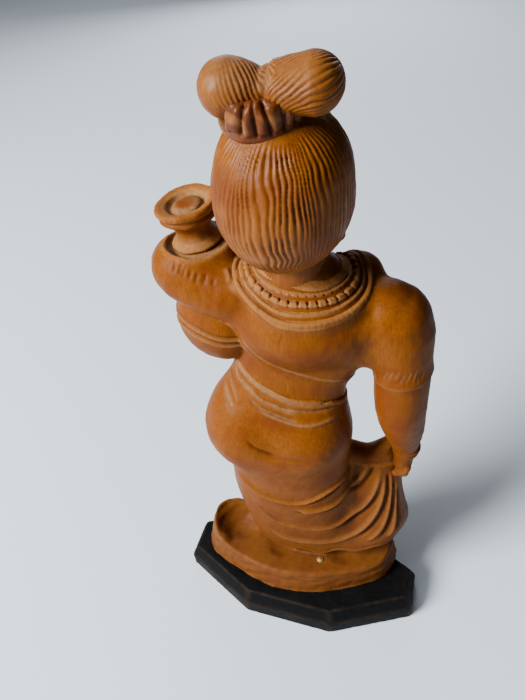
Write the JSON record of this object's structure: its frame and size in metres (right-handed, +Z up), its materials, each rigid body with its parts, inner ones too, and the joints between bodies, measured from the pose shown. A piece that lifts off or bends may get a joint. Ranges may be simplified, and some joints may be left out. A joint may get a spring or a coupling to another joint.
{
  "type": "carved wooden figurine",
  "caption": "Carved wooden lady water-carrier with a pot on one arm and a double topknot, standing on a mound fixed to a black octagonal plinth.",
  "frame": {"origin": "middle of the plinth's flat underside, where the figurine rests", "axes": "+Z up through the figure; +X towards the lady's left side and her pot; she faces -Y"},
  "size_m": [0.092, 0.0479, 0.2062],
  "materials": {
    "carved_wood": "satin oiled and waxed, darker in the cuts, worn paler on the ridges",
    "dark_wood": "gloss stained and lacquered",
    "dowel_wood": "raw",
    "black_wood": "black stained satin, worn brown along the arrises",
    "nail_brass": "dull",
    "screw_steel": "zinc plated"
  },
  "bodies": {
    "root": {"plinth": "black_wood", "figure_block": "carved_wood", "pot_mouth": "carved_wood", "garland_ring": "dark_wood", "topknot": "carved_wood", "topknot_dowel": "dowel_wood", "heel_nail": "nail_brass", "plinth_screw_left": "screw_steel", "plinth_screw_right": "screw_steel"}
  },
  "joints": []
}
